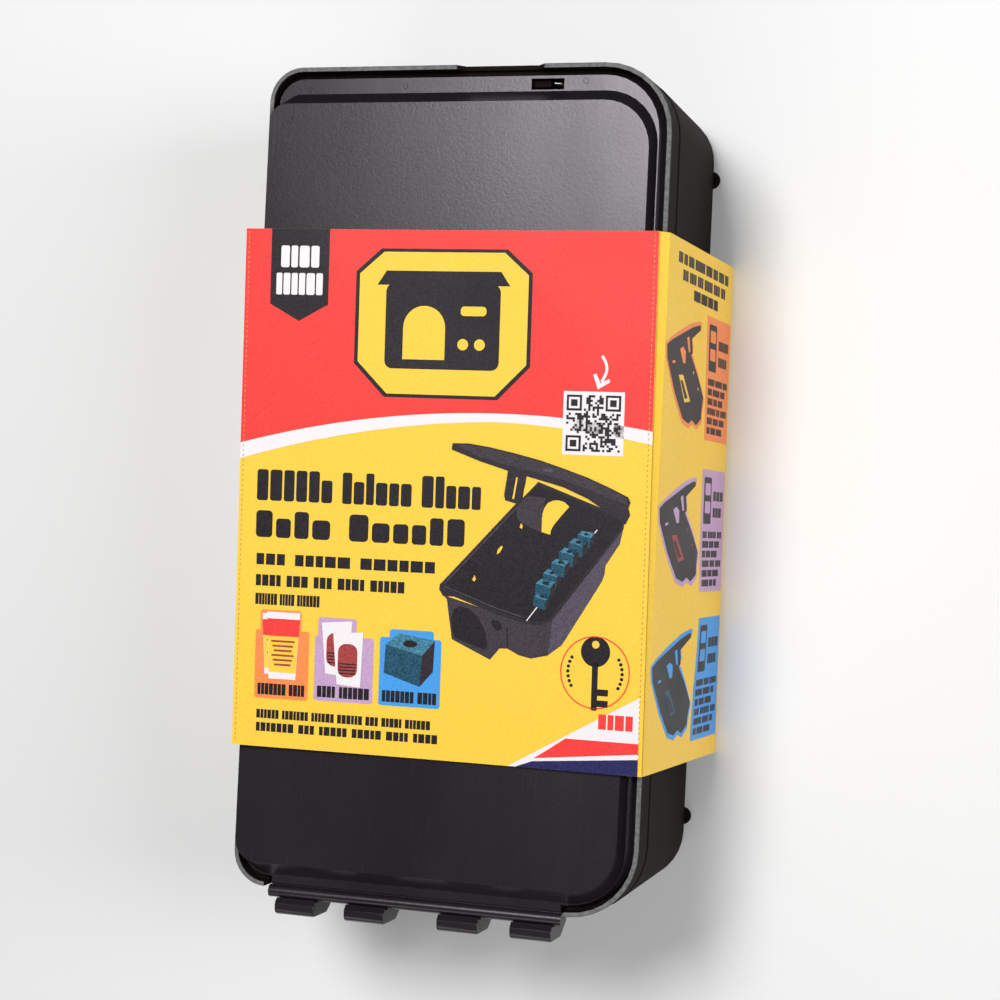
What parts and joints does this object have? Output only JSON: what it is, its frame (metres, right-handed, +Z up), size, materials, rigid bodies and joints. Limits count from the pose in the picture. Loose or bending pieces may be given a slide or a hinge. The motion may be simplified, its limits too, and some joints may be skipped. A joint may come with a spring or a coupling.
{
  "type": "rodent bait station",
  "caption": "Lockable rectangular rodent bait station with an arched entry at each end, a hinged lid and a loose card sleeve.",
  "frame": {"origin": "centre of the bounding box's bottom face, on the surface that the sleeved box lies on", "axes": "+Y towards the lid's hinge, -Y towards the lock, +X towards the tunnel side, -X towards the bait side, +Z up"},
  "size_m": [0.1458, 0.282, 0.0911],
  "materials": {
    "black_plastic": "fine-grained black moulded polypropylene with a soft sheen",
    "key_plastic": "smooth black moulded plastic",
    "zinc_steel": "bright zinc-plated steel rod",
    "printed_card": "white-lined card with a printed, lightly varnished face"
  },
  "bodies": {
    "tray_body": {"tray": "black_plastic", "hinge_hook_1": "black_plastic", "hinge_hook_2": "black_plastic", "hinge_hook_3": "black_plastic", "hinge_hook_4": "black_plastic", "foot_1": "black_plastic", "foot_2": "black_plastic", "foot_3": "black_plastic", "foot_4": "black_plastic", "entry_lip_lock_end": "black_plastic", "entry_lip_hinge_end": "black_plastic", "partition_lock_end": "black_plastic", "partition_hinge_end": "black_plastic", "rod_cradle_lock_end": "black_plastic", "rod_cradle_hinge_end": "black_plastic", "floor_pin_lock_end": "black_plastic", "floor_pin_hinge_end": "black_plastic", "key": "key_plastic"},
    "lid_body": {"lid": "black_plastic", "tunnel_comb": "black_plastic"},
    "tongue_body": {"lock_tongue": "black_plastic"},
    "rod_body": {"bait_rod": "zinc_steel"},
    "sleeve_wrap_body": {"sleeve_wrap": "printed_card"},
    "sleeve_front_body": {"sleeve_front": "printed_card"}
  },
  "joints": [
    {"name": "lid_hinge", "type": "hinge", "parent": "tray_body", "child": "lid_body", "pos_m": [0, 0.134, 0.083], "axis": [-1, 0, 0], "range_deg": [0, 105]},
    {"name": "lock_tongue_flex", "type": "hinge", "parent": "lid_body", "child": "tongue_body", "pos_m": [-0.0237, -0.127, 0.0812], "axis": [1, 0, 0], "range_deg": [0, 8], "stiffness_Nm_per_rad": 0.06},
    {"name": "bait_rod_spin", "type": "hinge", "parent": "tray_body", "child": "rod_body", "pos_m": [-0.032, 0, 0.027], "axis": [0, 1, 0], "continuous": true},
    {"name": "sleeve_slide", "type": "slide", "parent": "tray_body", "child": "sleeve_wrap_body", "axis": [0, -1, 0], "range_m": [0, 0.24]},
    {"name": "sleeve_front_slide", "type": "slide", "parent": "lid_body", "child": "sleeve_front_body", "axis": [0, -1, 0], "range_m": [0, 0.24]}
  ],
  "couplings": [
    {"joint": "sleeve_front_slide", "follows": "sleeve_slide", "ratio": 1}
  ]
}
